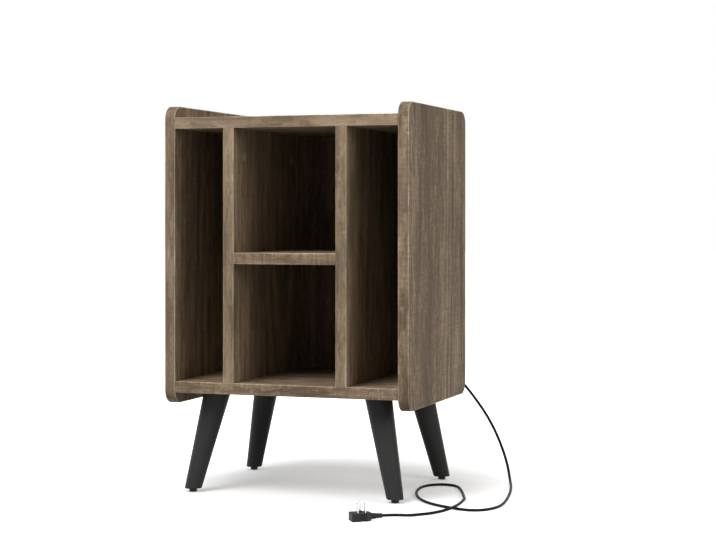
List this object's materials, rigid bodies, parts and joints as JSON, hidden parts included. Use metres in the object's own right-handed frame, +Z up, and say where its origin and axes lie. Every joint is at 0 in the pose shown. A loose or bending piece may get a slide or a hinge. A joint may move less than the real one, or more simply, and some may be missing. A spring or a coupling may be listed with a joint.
{
  "type": "record cabinet",
  "caption": "Record cabinet with tall side panels, open bays, a shelf, splayed tapered legs and a built-in charging station with its power cord.",
  "frame": {"origin": "on the floor, midway between the side panels' outer faces and midway between the side panels' front and rear edges", "axes": "+X to the right as seen from the front, +Y to the back, +Z up"},
  "size_m": [0.6046, 0.5357, 0.692],
  "materials": {
    "oak_laminate": "satin grey-brown oak-look laminate with fine open grain",
    "beech": "plain turned beech",
    "black_wood": "satin black lacquer on turned wood",
    "zinc_steel": "zinc-plated steel",
    "black_steel": "black coated steel",
    "insert_brass": "plain brass",
    "cap_plastic": "matte cap in the laminate's colour",
    "foot_plastic": "matte black plastic",
    "station_plastic": "fine-grained charcoal plastic",
    "outlet_plastic": "dark grey plastic, a little smoother",
    "port_steel": "thin stamped steel",
    "tongue_orange": "orange plastic",
    "tongue_white": "white plastic",
    "circuit_board": "green board",
    "light_green": "clear green lens",
    "cord_rubber": "soft black jacket",
    "prong_nickel": "nickel-plated brass"
  },
  "bodies": {
    "cabinet": {"back_panel": "oak_laminate", "back_panel_dowels": "beech", "back_panel_screws": "zinc_steel", "bottom_panel": "oak_laminate", "cam_cover_caps": "cap_plastic", "cord_strain_relief": "cord_rubber", "divider_cam_bolts": "zinc_steel", "divider_cam_locks": "zinc_steel", "divider_dowels": "beech", "divider_left": "oak_laminate", "divider_right": "oak_laminate", "divider_screws": "zinc_steel", "faceplate_screws": "black_steel", "hanger_bolts": "zinc_steel", "indicator_light": "light_green", "leg_front_left": "black_wood", "leg_front_right": "black_wood", "leg_inserts": "insert_brass", "leg_plate_front_left": "black_steel", "leg_plate_front_right": "black_steel", "leg_plate_rear_left": "black_steel", "leg_plate_rear_right": "black_steel", "leg_plate_screws": "zinc_steel", "leg_rear_left": "black_wood", "leg_rear_right": "black_wood", "outlet_contacts": "insert_brass", "outlet_lower": "outlet_plastic", "outlet_upper": "outlet_plastic", "panel_cam_bolts": "zinc_steel", "panel_cam_locks": "zinc_steel", "panel_dowels": "beech", "plug_blades": "prong_nickel", "plug_body": "cord_rubber", "plug_ground_pin": "prong_nickel", "plug_strain_relief": "cord_rubber", "power_cord": "cord_rubber", "shelf": "oak_laminate", "shelf_dowels": "beech", "side_panel_left": "oak_laminate", "side_panel_right": "oak_laminate", "station_faceplate": "station_plastic", "station_housing": "station_plastic", "top_panel": "oak_laminate", "usb_circuit_board": "circuit_board", "usb_cover": "station_plastic", "usb_port_lower": "port_steel", "usb_port_upper": "port_steel", "usb_tongue_lower": "tongue_white", "usb_tongue_upper": "tongue_orange"},
    "foot_front_left": {"foot_pad_front_left": "foot_plastic", "foot_screw_front_left": "zinc_steel"},
    "foot_front_right": {"foot_pad_front_right": "foot_plastic", "foot_screw_front_right": "zinc_steel"},
    "foot_rear_left": {"foot_pad_rear_left": "foot_plastic", "foot_screw_rear_left": "zinc_steel"},
    "foot_rear_right": {"foot_pad_rear_right": "foot_plastic", "foot_screw_rear_right": "zinc_steel"}
  },
  "joints": [
    {"name": "foot_front_left_travel", "type": "slide", "parent": "cabinet", "child": "foot_front_left", "axis": [0, 0, -1], "range_m": [0, 0.008]},
    {"name": "foot_front_right_travel", "type": "slide", "parent": "cabinet", "child": "foot_front_right", "axis": [0, 0, -1], "range_m": [0, 0.008]},
    {"name": "foot_rear_left_travel", "type": "slide", "parent": "cabinet", "child": "foot_rear_left", "axis": [0, 0, -1], "range_m": [0, 0.008]},
    {"name": "foot_rear_right_travel", "type": "slide", "parent": "cabinet", "child": "foot_rear_right", "axis": [0, 0, -1], "range_m": [0, 0.008]}
  ]
}
